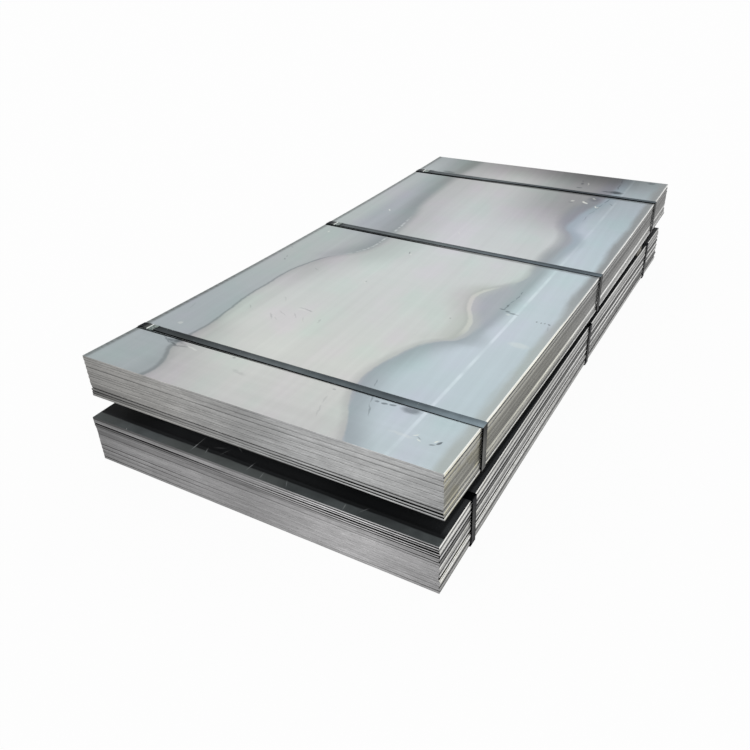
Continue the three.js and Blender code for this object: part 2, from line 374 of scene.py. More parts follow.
LIGHT_LINES = [
    (890, 2101, 906, 2086, 13, 0.55), (938, 2110, 976, 2073, 9, 0.7),
    (1014, 2066, 1023, 2038, 6, 0.7), (1021, 2038, 1040, 2056, 5, 0.6),
    (972, 2172, 994, 2144, 7, 0.6), (160, 1642, 178, 1618, 5, 0.6), (748, 1372, 754, 1334, 5, 0.3),
    (581, 1517, 600, 1480, 4, 0.2), (504, 1218, 522, 1188, 4, 0.3), (1108, 106, 1122, 118, 3, 0.6),
    (1122, 98, 1142, 90, 3, 0.6), (1182, 118, 1170, 100, 3, 0.7), (1030, 100, 1130, 96, 9, 0.16),
    (1052, 872, 1072, 874, 9, 0.3), (485, 892, 497, 876, 4, 0.3), (452, 540, 484, 492, 3, 0.2),
    (352, 512, 388, 474, 3, 0.25), (386, 586, 456, 584, 3, 0.2), (60, 1290, 68, 1262, 5, 0.4),
    (95, 322, 120, 312, 12, 0.25), (1130, 690, 1215, 684, 22, 0.22), (240, 205, 300, 190, 5, 0.3),
    (890, 2380, 902, 2330, 5, 0.25),
]

# Scratches on the lower bundle's top, laid out as the smudges are.
SCRATCHES = [
    (407, 24, 2.2, 52, 2, 0.55), (452, 14, 2, 20, 20, 0.35), (482, 40, 26, 3, 20, 0.3),
    (510, 34, 2, 30, -20, 0.35), (540, 62, 22, 3, -30, 0.25), (620, 14, 2, 28, -4, 0.35),
    (674, -4, 2, 18, 10, 0.3), (234, -28, 6, 5, 20, 1.3), (956, -8, 2.4, 16, 8, 0.35),
    (150, -22, 2, 8, 40, 0.5), (594, -38, 5, 3, 0, 0.5), (760, -2, 1.8, 20, 30, 0.25),
    (1010, 6, 1.6, 22, -35, 0.2), (700, -30, 16, 2, 10, 0.3),
]

# The renderer holds only some eighty vectors of one shader at a time, so marks wait in groups for
# the marks before them, by a shift that is too small to see.
MARKS_AT_ONCE = 8
UNSEEN_SHIFT = 1e-7


def oval_mark(g, place, x, y, half_x, half_y, turn, soft):
    """1 inside an oval and 0 outside, over its soft outer share. Millimetres and degrees."""
    inputs = {
        "Vector": place,
        "Location": (x * MM, y * MM, 0),
        "Rotation": (0, 0, math.radians(turn)),
        "Scale": (half_x * MM, half_y * MM, 1),
    }
    local = g.node_output("Mapping", inputs, vector_type="TEXTURE")
    distance = g.node_output("VectorMath", {0: local}, 1, operation="LENGTH")
    return g.smooth(distance, 1, 1 - soft)


def marks(g, place, smudges, lines=(), soft=0.6):
    """The strongest of the given smudges and scratches at each point."""
    rows = list(smudges)
    for x, y, end_x, end_y, half_width, strength in lines:
        half_length = math.dist((x, y), (end_x, end_y)) / 2
        turn = math.degrees(math.atan2(end_y - y, end_x - x))
        rows.append(((x + end_x) / 2, (y + end_y) / 2, half_length, half_width, turn, strength))
    total = 0.0
    for count, (*oval, strength) in enumerate(rows, 1):
        if count % MARKS_AT_ONCE == 0:
            place = place + total * UNSEEN_SHIFT
        total = g.greatest(total, oval_mark(g, place, *oval, soft) * strength)
    return total


# ---- The top plate's upper face ----

class Sheet:
    """Where a point of the top plate lies, in metres: along it, across it, and how far inside
    each stain. The stains' edges wander a little, and so does x."""

    def __init__(self, g):
        self.g = g
        self.place = g.place() - CORNER
        self.flat = self.place * (1, 1, 0)
        self.along = self.place * (0, 1, 0)
        self.true_x, self.y, _ = g.split(self.place)
        self.share = self.y * (1 / PLATE_LENGTH)
        self.cloud = g.noise(self.place, 2.3, 3, 0.55)
        wander = g.noise(self.flat, 5, 3, 0.55)
        fine = g.noise(self.flat, 60)
        self.x = self.true_x + (wander - 0.5) * 0.016 + (fine - 0.5) * 0.007
        self.in_left = edge_curve(g, self.share, LEFT_EDGE) - self.x
        self.in_right = self.x - edge_curve(g, self.share, RIGHT_EDGE)
        self.in_blue = self.x - edge_curve(g, self.share, BLUE_EDGE)

    def band(self, low, high, fade):
        """1 between two distances along the plate, fading out over the given length."""
        return self.g.smooth(self.y, low - fade, low) * self.g.smooth(self.y, high + fade, high)


def top_material():
    """A pale middle between two heat-stained edge bands, with marks, painted shade and a painted
    highlight at the long sides, and the straps' painted shadow lines.
    """
    material, g = new_material("plate_top")
    sheet = Sheet(g)
    colour = stained(g, sheet)
    colour = rolled(g, sheet, colour)
    colour, dark = marked(g, sheet, colour)
    colour = side_shade_and_highlight(g, sheet, colour)
    colour, unshaded = strap_shadowed(g, sheet, colour)
    grain = g.noise(sheet.place * (260, 40, 1), 1)
    normal = g.bump(g.noise(sheet.place, 3), 0.004, 0.25, g.bump(grain, 0.0004, 0.15))
    g.surface(base_color=colour, metallic=unshaded * 0.9, specular_ior_level=unshaded * 0.5,
              roughness=g.vary(sheet.cloud, 0.40, 0.46) + dark * 0.2, normal=normal)
    return material


def stained(g, sheet):
    """The middle and both stains, each with a soft edge that a pale line follows in part."""
    y, in_left, in_right = sheet.y, sheet.in_left, sheet.in_right
    left_width = g.smooth(y, 1.02, 1.35, 0.006, 0.024)
    right_width = sheet.band(1.03, 1.10, 0.04) * 0.026 + 0.005 + g.smooth(y, 1.15, 1.40, 0, 0.024)
    colour = g.mix(g.smooth(in_left, -left_width, left_width), middle_colour(g, sheet),
                   left_colour(g, sheet))
    colour = g.mix(g.smooth(in_right, -right_width, right_width), colour, right_colour(g, sheet))
    cream = g.smooth(in_right, -0.016, -0.006) * g.smooth(in_right, 0.010, 0.002)
    colour = g.mix(cream * sheet.band(0.72, 1.01, 0.08) * 0.7, colour, (204, 207, 200))
    dots = g.smooth(g.noise(sheet.along, 45, 1), 0.42, 0.56)
    pale = g.smooth(in_left, 0.004, 0.008) * g.smooth(in_left, 0.018, 0.012)
    return g.mix(pale * sheet.band(1.16, 1.5, 0.12) * dots * 0.7, colour, (196, 202, 202))


def middle_colour(g, sheet):
    """The middle darkens beside the left stain and towards the far right."""
    y, in_left, in_right = sheet.y, sheet.in_left, sheet.in_right
    colour = g.colours(sheet.share, [
        (0.00, 195, 196, 195), (0.13, 205, 208, 204), (0.26, 201, 205, 203), (0.50, 199, 204, 204),
        (0.66, 194, 198, 200), (0.80, 189, 192, 193), (0.92, 182, 184, 183), (1.00, 156, 157, 156),
    ])
    beside = g.smooth(in_left, -0.26, -0.01)
    weak = g.greatest(g.smooth(y, 0.67, 0.91, 0.25, 1.0), g.smooth(y, 0.45, 0.3, 0.25, 1.0))
    colour = g.mix(beside * weak * 0.55, colour, (164, 165, 166))
    close = g.greatest(g.smooth(in_left, -0.040, -0.004), g.smooth(in_right, -0.036, -0.004))
    colour = g.mix(close * 0.35, colour, (150, 153, 154))
    dim = g.smooth(y, 1.55, 2.0, 0, 0.8) * g.smooth(sheet.x, 0.50, 0.96)
    colour = g.mix(dim, colour, (138, 139, 142))
    shade = sheet.band(0.66, 1.02, 0.1) * g.smooth(in_right, -0.12, -0.01) * 0.5
    return g.mix(shade, colour, (166, 173, 164))


def left_colour(g, sheet):
    """The left stain is dark at its rim: a line at first, a wide haze from the middle on."""
    y, in_left = sheet.y, sheet.in_left
    colour = g.colours(sheet.share, [
        (0.00, 161, 169, 172), (0.20, 163, 171, 175), (0.40, 172, 179, 179),
        (0.60, 174, 182, 182), (0.80, 171, 178, 179), (1.00, 165, 172, 175),
    ])
    cool = g.smooth(sheet.x, 0.06, 0.16) * g.smooth(y, 1.2, 1.5, 0, 0.8)
    colour = g.mix(cool, colour, g.mix(g.smooth(y, 1.8, 2.4), (157, 163, 171), (140, 149, 150)))
    thin = g.smooth(y, 0.22, 0.30, 1, 0.55)
    rim = g.smooth(in_left, thin * 0.026, thin * 0.010) * g.smooth(y, 1.12, 0.98)
    haze = g.smooth(in_left, 0.120, 0.015) * g.smooth(y, 0.98, 1.2, 0, 0.95)
    tint = g.mix(g.smooth(y, 1.9, 2.3), (138, 146, 149), (134, 139, 138))
    return g.mix(g.greatest(rim, haze), colour, g.mix(rim, tint, (134, 141, 143)))


def right_colour(g, sheet):
    """The right stain goes from purple at its rim to blue."""
    y, in_right, in_blue = sheet.y, sheet.in_right, sheet.in_blue
    blue = g.colours(sheet.share, [
        (0.00, 188, 200, 205), (0.14, 187, 201, 207), (0.30, 190, 203, 209), (0.50, 189, 201, 208),
        (0.66, 180, 195, 203), (0.80, 166, 177, 185), (0.90, 158, 167, 174), (1.00, 138, 149, 152),
    ])
    reach = g.smooth(y, 0.62, 0.74, 0.115, 0.045) + g.smooth(y, 1.4, 1.6, 0, 0.02)
    first = g.mix(g.smooth(y, 1.3, 1.6), (158, 168, 174), (152, 168, 177))
    blue = g.mix(g.smooth(in_blue, 0.0, reach), first, blue)
    purple = g.mix(g.smooth(y, 1.15, 1.4), (165, 171, 177), (150, 157, 162))
    purple = g.mix(g.smooth(y, 1.65, 1.85), purple, (134, 139, 146))
    pale = g.smooth(in_right, 0.055, 0.005) * sheet.band(0.6, 1.0, 0.1) * 0.7
    purple = g.mix(pale, purple, (181, 185, 184))
    return g.mix(g.smooth(in_blue, 0.004, -g.smooth(y, 0.62, 0.80, 0.006, 0.028)), blue, purple)


def rolled(g, sheet, colour):
    """A worn stripe, the rolling's faint streaks, the shade at the far end and faint clouds of
    lilac and green."""
    y, true_x = sheet.y, sheet.true_x
    stripe = g.smooth(true_x, 1.080, 1.087) * g.smooth(true_x, 1.098, 1.091)
    stripe = stripe * g.smooth(g.noise(sheet.along, 9), 0.35, 0.6, 0.35, 1)
    stripe = stripe * g.smooth(y, 1.5, 1.1, 0.2, 0.7) * g.smooth(y, 0.05, 0.25, 0.6, 1)
    colour = g.mix(stripe, colour, (214, 226, 231))

    slanted = sheet.flat + g.node_output("CombineXYZ", {"X": y * 0.05})
    streaks = g.vary(g.noise(slanted * (34, 0.9, 0), 1, 3, 0.6), -0.03, 0.03)
    across = g.noise(sheet.place * (1.5, 26, 0), 1)
    across = g.vary(across, -0.03, 0.03) * g.smooth(y, 0.3, 0.1, 0.25, 1)
    dull = g.smooth(abs(true_x - 0.232), 0.02, 0.05, -0.07, 0)
    shade = streaks + g.vary(sheet.cloud, -0.02, 0.02) + across + dull

    # The far end is darkest round a metre from the left side.
    off = abs(true_x - 1.0)
    murk = g.mix_value(g.smooth(true_x, 0.99, 1.01), g.smooth(off, 0.75, 0.0, 0.25, 1),
                       g.smooth(off, 0.22, 0.0, 0.30, 1))
    gloom = murk * g.smooth(y, 2.24, 2.50, 0, 0.42)
    gloom = gloom + g.smooth(murk, 0.5, 1.0) * g.smooth(y, 1.80, 2.15, 0, 0.11)
    colour = colour * (shade + 1.0 - gloom * 1.5)

    hues = g.noise(slanted * (5, 3, 0), 1)
    colour = g.mix(g.smooth(hues, 0.50, 0.68), colour, (1.035, 0.985, 1.030, 1), "MULTIPLY")
    return g.mix(g.smooth(hues, 0.50, 0.32), colour, (0.955, 1.015, 0.985, 1), "MULTIPLY")


def marked(g, sheet, colour):
    """Smudges and scratches with ragged outlines, and how strong the dark ones are."""
    ragged = g.noise(sheet.place, 28, 3, 0.6)
    jitter = g.noise(sheet.place, 40, which="Color") * 0.014
    place = (sheet.place + jitter - (0.007, 0.007, 0)) * (1, 1, 0)
    dark = marks(g, place, DARK_SPOTS, DARK_LINES) * g.smooth(ragged, 0.30, 0.55, 0.6, 1)
    colour = g.mix(marks(g, place, (), LIGHT_LINES), colour, (232, 234, 226))
    return g.mix(dark, colour, (70, 77, 83)), dark


def side_shade_and_highlight(g, sheet, colour):
    """Painted shade where both long sides roll over and along the right margin, and a painted highlight
    line on the right edge.
    """
    y, true_x = sheet.y, sheet.true_x
    dotted = g.smooth(g.noise(sheet.along, 70), 0.4, 0.6, 0.75, 1)
    # Painted shade: a dark band along the left side where the edge rolls over.
    lip = g.smooth(true_x, 0.026, 0.010) * dotted * (sheet.band(0.25, 0.62, 0.2) * 0.15 + 0.80)
    colour = g.mix(lip, colour, (92, 98, 97))
    # Painted shade along the right margin, its inner edge wandering with this noise.
    edge_wander = g.noise(sheet.place * (14, 4, 0), 1, 3, 0.6)
    margin_shade = g.smooth(true_x + (edge_wander - 0.5) * 0.05, 1.200, 1.234) * g.smooth(y, 0.6, 1.4, 0.55, 0.9)
    colour = g.mix(margin_shade, colour, g.mix(g.smooth(y, 0.5, 1.3), (158, 161, 152), (134, 138, 139)))
    # Painted highlight: a near-white line along the right edge.
    bright = g.smooth(true_x, 1.2455, 1.2470) * g.smooth(edge_wander, 0.35, 0.5, 0.3, 1)
    return g.mix(bright * g.smooth(y, 1.3, 0.6, 0.3, 0.9), colour, (244, 244, 240))


# Painted shadow lines by the near side of each strap: distance along the plate at its left side,
# slope, half width, and the span across the plate over which the first strength goes to the last.
STRAP_SHADOWS = [
    (0.2222, 0, 0.0028, (0.3, 0.85, 1, 0.05)),
    (1.346, 0.0367, 0.0065, (0.4, 1.0, 1, 0.35)),
    (2.2075, 0.0157, 0.0085, (0.25, 1.0, 1, 0.45)),
]


def strap_shadowed(g, sheet, colour):
    """The colour with the straps' painted shadow lines, and how far the plate is out of them, from 0 to
    1.
    """
    unshaded = 1.0
    for start, slope, half, fade in STRAP_SHADOWS:
        off = abs(sheet.y + sheet.true_x * slope - start)
        # Painted shadow: a near-black line just in front of each strap, where the plate also loses its
        # shine.
        strap_shadow = g.smooth(off, half * 1.25, half * 0.75) * g.smooth(sheet.true_x, *fade)
        colour = g.mix(strap_shadow, colour, (10, 12, 13))
        unshaded = unshaded - strap_shadow
    return colour, unshaded


# ---- The other materials ----

def dark_skin_material():
    """Mill scale with long scratches: the lower bundle's top, black where the upper one shades it."""
    material, g = new_material("plate_scale")
    place = g.place() - CORNER
    flat = place * (1, 1, 0)
    x, y, _ = g.split(place)
    cloud = g.noise(flat, 6, 3, 0.6)
    base = g.mix(g.smooth(cloud, 0.35, 0.65), (66, 70, 71), (86, 91, 92))
    base = g.mix(g.smooth(x, 0.16, 0.03, 0, 0.7), base, (54, 58, 56))
    blotch = g.smooth(x, 0.27, 0.33) * g.smooth(x, 0.78, 0.72) * 0.5
    base = g.mix(blotch, base, (100, 104, 102))
    deep = g.smooth(y + (cloud - 0.5) * 0.012, 0.005, 0.011)
    within = g.smooth(x, 0.10, 0.32) * g.smooth(y, 0.0, 0.05) * g.smooth(x, 0.8, 0.95, 1, 0.6)
    base = g.mix(deep, base, g.mix(within, (19, 20, 21), (66, 68, 70)))
    fade = g.smooth(g.noise(flat, 30), 0.35, 0.6, 0.35, 1)
    base = g.mix(marks(g, flat, SCRATCHES, soft=0.8) * fade, base, (212, 216, 216))
    grain = g.noise(flat * (200, 30, 1), 1)
    g.surface(base_color=base, metallic=g.mix_value(deep, 0.3, 0.0), roughness=g.vary(cloud, 0.5, 0.65),
              specular_ior_level=g.mix_value(deep, 0.25, 0.05), normal=g.bump(grain, 0.0005, 0.2))
    return material


def skin_material():
    """Rolled faces of the plates inside a bundle: a pale ledge shows, with painted light, and further
    in painted shade makes it dark.
    """
    material, g = new_material("plate_skin")
    cloud = g.noise(g.place(), 30, 3, 0.6)
    pale = (g.attribute("ledge") * g.vary(cloud, 0.92, 1.06)) ** SCREEN_POWER
    # Painted shade: the face goes near black further inside the bundle.
    base = g.mix(g.smooth(g.attribute("inside"), 0.2, 0.6), pale, (12, 12, 12))
    g.surface(base_color=base, metallic=0.3, roughness=g.vary(cloud, 0.45, 0.6))
    return material


def edge_material():
    """Sheared ends and mill edges: bright upper lips, part cut metal and part painted highlight, and a
    dark line where two plates meet, painted as the shadow in the gap.
    """
    material, g = new_material("plate_edge")
    place = g.place()
    x, y, z = g.split(place)
    on_side = g.smooth(g.facing()[0], 0.3, 0.7)
    cloud = g.noise(place * (1, 1, 6), 9, 3, 0.6)
    fine = g.mix_value(on_side, g.noise(place * (22, 150, 240), 1, 3, 0.65),
                       g.noise(place * (150, 8, 450), 1, 3, 0.65))
    speck = g.mix_value(on_side, g.noise(place * (90, 300, 400), 1, 2, 0.6), fine)
    shade = g.vary(cloud, -0.04, 0.04) + 1.0 + g.ramp(fine, 0.25, 0.75, -0.10, 0.10)
    shade = shade + g.vary(speck, -0.05, 0.05)
    level, seam = g.attribute("level"), g.attribute("seam")
    # The grey and lip attributes carry painted light: a painted highlight on the lips, painted shade on
    # recessed plates.
    grey = g.mix_value(g.smooth(level, 0.3, 0.85), g.attribute("grey"), g.attribute("lip"))
    # Painted shadow: below a seam the lower part of the face darkens, the more the stronger the seam.
    seam_top = g.ramp(seam, 1, 2, 0.1, 0.7)
    under = g.smooth(level, seam_top, seam_top - 0.6) * g.math("MINIMUM", seam, 1)
    tone = grey * shade * (1.0 - under * 0.95)

    in_lower = g.smooth(z, 0.22, 0.20)
    end_tint = g.mix(g.smooth(x, -0.5, 0.2), (1.0, 0.985, 0.95, 1), (0.99, 1.0, 1.0, 1))
    end_tint = g.mix(in_lower, end_tint, (1.0, 0.99, 1.0, 1))
    warm = g.smooth(y, 0.1, -0.6, 0, 1.0 - in_lower * 0.75)
    patch = g.smooth(g.noise(place, 14), 0.5, 0.62) * g.smooth(y, -0.85, -1.05)
    side_tint = g.mix(warm, (1.0, 0.995, 0.97, 1), (1.0, 0.985, 0.87, 1))
    side_tint = g.mix(patch * warm, side_tint, (0.97, 0.93, 0.72, 1))
    base = g.mix(on_side, end_tint, side_tint) * tone ** SCREEN_POWER
    shine = g.smooth(tone, 0.1, 0.5)  # so that the dark lines between plates stay black
    g.surface(base_color=base, metallic=shine * g.mix_value(on_side, 0.75, 0.95),
              specular_ior_level=shine * 0.5, roughness=g.vary(fine, 0.42, 0.60),
              normal=g.bump(fine, 0.0005, 0.35))
    return material


def strap_material():
    """Blued strapping with pale specks and a black near rim, painted as the shadow under its near edge.
    """
    material, g = new_material("strap")
    place = g.place()
    cloud = g.noise(place, 14, 3, 0.6)
    across = g.attribute("across")
    grey = g.attribute("grey") * g.vary(cloud, 0.9, 1.1) * g.smooth(across, -0.4, 0.7, 1.06, 0.88)
    x, _, _ = g.split(place)
    tint = g.mix(g.smooth(x, -0.2, 0.5), (0.87, 1.0, 1.03, 1), (0.80, 1.0, 1.12, 1))
    tint = g.mix(g.smooth(g.facing()[0], 0.5, 0.9), tint, (1.0, 1.0, 0.92, 1))
    # Painted shadow: the near rim goes black, and there the shine is taken away.
    unshaded = g.smooth(across - g.attribute("rim"), -0.14, 0.0)
    base = g.mix(unshaded, (6, 7, 8), tint * grey ** SCREEN_POWER)
    speck = g.smooth(g.noise(place, 180), 0.68, 0.74)
    base = g.mix(speck * 0.5, base, (170, 176, 178))
    g.surface(base_color=base, metallic=unshaded * 0.85, specular_ior_level=unshaded * 0.2,
              roughness=g.vary(cloud, 0.32, 0.48), specular_tint=(0.5, 0.5, 0.52, 1))
    return material


def seal_material():
    """Scuffed steel, dark over the first third of the seal and then with a bright lip."""
    material, g = new_material("seal")
    place = g.place()
    along = g.attribute("along")
    cloud = g.noise(place, 60, 3, 0.6)
    base = g.mix(g.smooth(cloud, 0.35, 0.65), (72, 84, 82), (122, 135, 130))
    base = g.mix(g.smooth(g.noise(place, 220, 3), 0.58, 0.7) * 0.8, base, (214, 220, 214))
    base = g.mix(g.smooth(along, 0.34, 0.24, 0, 0.9), base, (26, 28, 30))
    base = g.mix(g.smooth(along, 0.30, 0.36) * g.smooth(along, 0.50, 0.42), base, (226, 230, 226))
    g.surface(base_color=base, metallic=0.85, roughness=g.vary(cloud, 0.28, 0.5))
    return material


def timber_material():
    """Weathered, rough sawn softwood with its grain along the bearer."""
    material, g = new_material("timber")
    place = g.place()
    grain = g.noise(place * (3, 90, 90), 1, 4, 0.6)
    rings = g.noise(place * (0.6, 22, 22), 1, 3)
    stripes = g.math("PINGPONG", rings * 9, 1)
    base = g.mix(g.smooth(stripes, 0.1, 0.9), (140, 136, 126), (168, 164, 154))
    base = g.mix(g.smooth(grain, 0.35, 0.7, 0, 0.6), base, (104, 98, 88))
    dirt = g.noise(place, 9, 3, 0.6)
    base = g.mix(g.smooth(dirt, 0.45, 0.7, 0, 0.5), base, (92, 90, 86))
    g.surface(base_color=base, roughness=g.vary(grain, 0.7, 0.9), normal=g.bump(grain, 0.0012, 0.6))
    return material


# ---- Meshes ----

def add_mesh(name, vertices, faces, materials, picks=None, values=None, domain="POINT"):
    """A mesh object at the row frame's origin. values holds numbers by name, one for each vertex
    or, in the domain CORNER, one for each corner of each face."""
    mesh = bpy.data.meshes.new(name)
    mesh.from_pydata([tuple(v) for v in vertices], [], faces)
    for material in materials:
        mesh.materials.append(material)
    if picks is not None:
        mesh.polygons.foreach_set("material_index", picks)
    mesh.polygons.foreach_set("use_smooth", [False] * len(faces))
    for key, numbers in (values or {}).items():
        layer = mesh.attributes.new(key, "FLOAT", domain)
        layer.data.foreach_set("value", numbers)
    mesh.update()
    piece = bpy.data.objects.new(name, mesh)
    bpy.context.scene.collection.objects.link(piece)
    return piece


def finish_piece(piece, node, slot):
    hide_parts(node)
    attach(piece, "root")


def points_of(node):
    """The different corners of a CAD node's mesh."""
    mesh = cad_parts[node].data
    return sorted({tuple(round(c, 6) for c in vertex.co) for vertex in mesh.vertices})


def ring_faces(size, count, closed=False):
    """The quads between count rings of size vertices, and back to the first ring if closed."""
    for k in range(count if closed else count - 1):
        here, after = k * size, (k + 1) % count * size
        for m in range(size):
            p = (m + 1) % size
            yield here + m, here + p, after + p, after + m


def wave(*place):
    """A smooth number between about -1 and 1 that is the same on every run."""
    return noise.noise(Vector(place), noise_basis="PERLIN_ORIGINAL")


def spread(values, share):
    """The value at a share of the way along evenly spaced ones."""
    return float(np.interp(share, np.linspace(0, 1, len(values)), values))


# ---- Plates ----

ACROSS = 42  # cells over a plate's width
ALONG = 84  # and over its length
LEDGE = 8 * MM  # the rim of a plate's faces that can be seen from beside the bundle
EDGE_DENT = 0.22 * MM  # how far a plate's edge is dented on average
EDGE_ROUND = 0.35 * MM  # the least rounding of it above and below
TOP_WEAR = 0.3 * MM  # the most that wear adds to that above
BASE_WEAR = 0.4 * MM  # and below
SIDES = ("near", "right", "far", "left")

# Screen greys of the bundles' near ends, from left to right, and of their long sides from the
# near end, evenly spaced.
UPPER_GREYS = {"near": (143, 158, 165, 154, 176, 182, 168), "right": (138, 140, 140, 138, 136)}
LOWER_GREYS = {"near": (130, 147, 154, 144, 168, 178, 152), "right": (140, 142, 142, 140, 138)}

# Each row is one plate, from the top down: how bright its near end is from left to right, how
# dark the line below it is there, how bright its right side is from near to far, how dark the
# line below that is, and how bright the lip above it is.
# The brightness columns carry painted light and shade: protruding plates and their lips are painted
# bright, recessed plates dark, and the lines below them are painted shadow.
UPPER_LOOKS = [
    ((1,), (0.1, 0.1, 0.05), (1.76, 1.72, 1.76, 1.7), (0,), (1.76,)),
    ((1,), (0.25, 0.15, 0, 0, 0), (0.65, 0.3, 1.3, 1.2), (0.6, 0.4, 0.1, 0.1), (1.1, 0.9)),
    ((1,), (0, 0, 0.15, 0.12, 0.2), (1.4, 1.2, 1.1, 1), (0.1, 0.2), (1.2, 1)),
    ((1,), (0,), (1.2, 0.8, 0.8, 0.9), (0.1,), (1.2, 0.9)),
    ((1,), (0.3, 0.25, 0.25, 0.15, 0.25), (1.25, 1, 0.95, 1), (0.1,), (1.25, 1)),
    ((1,), (0.05, 0), (1.2, 0.75, 0.65, 0.8), (0.2, 0.1), (1.25, 0.7)),
    ((1,), (0,), (0.88, 0.85, 0.6, 0.8), (0,), (0.88, 0.7)),
    ((0.97, 1, 1), (0.25, 0.2, 0.08, 0.05, 0.05), (1.05, 0.86, 0.9, 0.9), (0,), (1.05, 0.9)),
    ((0.98, 1, 1), (0.03,), (0.95, 0.78, 0.76, 0.8, 0.82, 0.82, 0.8, 0.8, 0.8), (0,), (0.9, 0.85)),
    ((1,), (0,), (1.1, 0.86, 0.78, 0.84, 0.92, 0.95, 0.95, 0.92, 0.9), (0,), (1.05, 0.95)),
    ((1,), (0,), (0.95, 0.78, 0.76, 0.82, 0.95, 1, 1.02, 0.95, 0.9), (0,), (0.93, 0.95)),
    ((0.98, 1, 1), (0.15, 0.1, 0.1, 0.05, 0.05),
     (0.92, 0.76, 0.72, 0.78, 0.88, 0.95, 0.95, 0.92, 0.9), (0,), (0.95,)),
    ((0.84, 0.92, 1, 1, 0.97), (0.05, 0.05, 0.03, 0.05, 0.1),
     (1.25, 1.5, 1.76, 1.4), (0,), (1, 1.5)),
    ((0.92, 0.97, 1.03, 1, 1), (0.15, 0, 0, 0.05, 0.15),
     (0.88, 1.4, 1.6, 1.75, 1.76, 1.76, 1.76, 1.6, 1.5), (0,), (0.95, 1.4, 1.5, 1.5, 1.5)),
    ((0.8, 0.85, 0.94, 0.97, 0.85), (0.5, 0.3, 0.25, 0.9, 1.3),
     (1.55, 1, 1.15, 1.15), (0.1, 0.3), (1.2, 1)),
    ((0.66, 0.84, 1, 0.94, 0.98), (0.3, 0.1, 0.1, 0.9, 1.2),
     (1, 0.35, 1.7, 1.4), (0.6, 0.3), (1.1,)),
    ((0.93, 1, 1, 0.95, 1.02), (0.2, 0.1, 0.5, 1.1, 0.8),
     (1.3, 0.3, 0.2, 0.2, 0.2, 0.3), (0.8, 0.9), (1.76, 1.6)),
]
LOWER_LOOKS = [
    ((0.48, 0.58, 0.8, 1.05, 1), (0, 0, 0, 1.3, 1.7), (1.76, 1.2, 1.7, 1.5), (0, 0.1), (1.76, 1.6)),
    ((0.86, 0.9, 1.08, 1.25, 1.25), (0, 0, 0.1, 1.2, 1.6),
     (0.8, 0.7, 1.3, 1.1), (0.2, 0.1), (0.9, 1)),
    ((1.02, 1.05, 1, 1.2, 1.1), (1.3, 1.5, 0.2, 1.9, 1.9),
     (1.7, 1.4, 1.15, 1.2), (0, 0.1), (1.4, 1.1)),
    ((0.66, 0.62, 1.08, 1.05, 1.15), (0.4, 0.6, 0.6, 1.5, 1.7),
     (0.7, 0.4, 1.2, 1.2), (0.95, 0.5), (1.4, 1.3)),
    ((0.82, 0.8, 0.95, 1.08, 1.15), (0.1, 0.1, 0.3, 0.9, 1.4),
     (0.3, 0.3, 0.8, 0.7), (0.2,), (0.4, 0.5)),
    ((0.93, 0.92, 0.78, 0.92, 0.95), (0.1, 0.2, 0.1, 0, 0.1),
     (0.3, 0.6, 1.5, 1.2), (0.95, 0.3), (1.7, 1.5)),
    ((0.78, 0.85, 0.95, 0.98, 0.97), (0, 0, 0, 0, 1), (0.2, 0.2, 1, 0.7), (0.2,), (0.3, 0.6)),
    ((0.8, 0.86, 0.94, 0.98, 1.02), (0.2, 0.3, 0.2, 0.1, 0.3),
     (0.4, 0.55, 0.4, 0.6), (0.4, 0.3), (1, 0.6)),
    ((0.93, 0.96, 1, 1.03, 1), (0,), (0.7, 1, 0.5, 0.6), (0,), (0.8, 0.6)),
    ((1,), (0,), (1.4, 1.2, 1.76, 1.5), (0.1,), (1.76,)),
    ((1,), (0,), (0.85, 1, 0.5, 0.7), (0.6, 0.3), (1.3, 0.8)),
    ((1,), (0.1, 0.1, 0, 0, 0), (0.3, 0.6, 0.5, 0.6), (0.3,), (0.6,)),
    ((0.95, 0.98, 1), (0.7, 0.6, 0, 0, 0), (0.9, 0.5, 1.76, 1.4), (0.95, 0.2), (1.76,)),
    ((1.04, 1.02, 1), (0,), (0.3, 0.5, 1.7, 1.2), (0.2,), (0.5, 1.4)),
    ((0.95, 0.98, 1), (0.7, 0.6, 0, 0, 0.2), (1.76, 1.76, 1.1, 1), (0,), (0.15, 1)),
    ((1.03, 1, 1), (0,), (1.3, 0.8, 0.5, 0.6), (0.2,), (1.76, 0.7)),
    ((0.92, 0.96, 1), (0.3, 0.25, 0, 0, 0.3), (1.3, 1, 0.5, 0.6), (0.2,), (1.2, 0.6)),
    ((1,), (0,), (0.7, 1.2, 0.6, 0.8), (0.3, 0.2), (1, 0.7)),
    ((0.95, 0.98, 1), (0.7, 0.4, 0, 0.1, 0.5), (1, 1.2, 1.3, 1.2), (0.2,), (1.2, 1.3)),
    ((0.95, 1, 1), (0.1,), (0.9, 1, 1.2, 1.2), (0.3,), (1.1, 1.3)),
]

# How far the lowest plates of the upper bundle hang down at the near end, in millimetres, from
# left to right. Those above them take up the slack.
UPPER_DROOPS = {
    1: (2.4, 0.8, 0.2, 1.4, 2.8), 2: (3.0, 1.7, 1.0, 2.4, 3.5),
    3: (3.2, 3.2, 3.2, 2.6, 3.5), 4: (3.5, 3.5, 3.5, 3.2, 3.5),
}
SLACK_PLATES = 7  # over so many plates the droop fades upwards
DROOP_CELLS = 5  # and over so many cells of a plate's length it falls to about a third
RIPPLES = 9  # waves of uneven grey over the length of an end or a side
END_RIPPLE = 0.06  # how strong they are on an end
SIDE_RIPPLE = 0.035  # and on a side
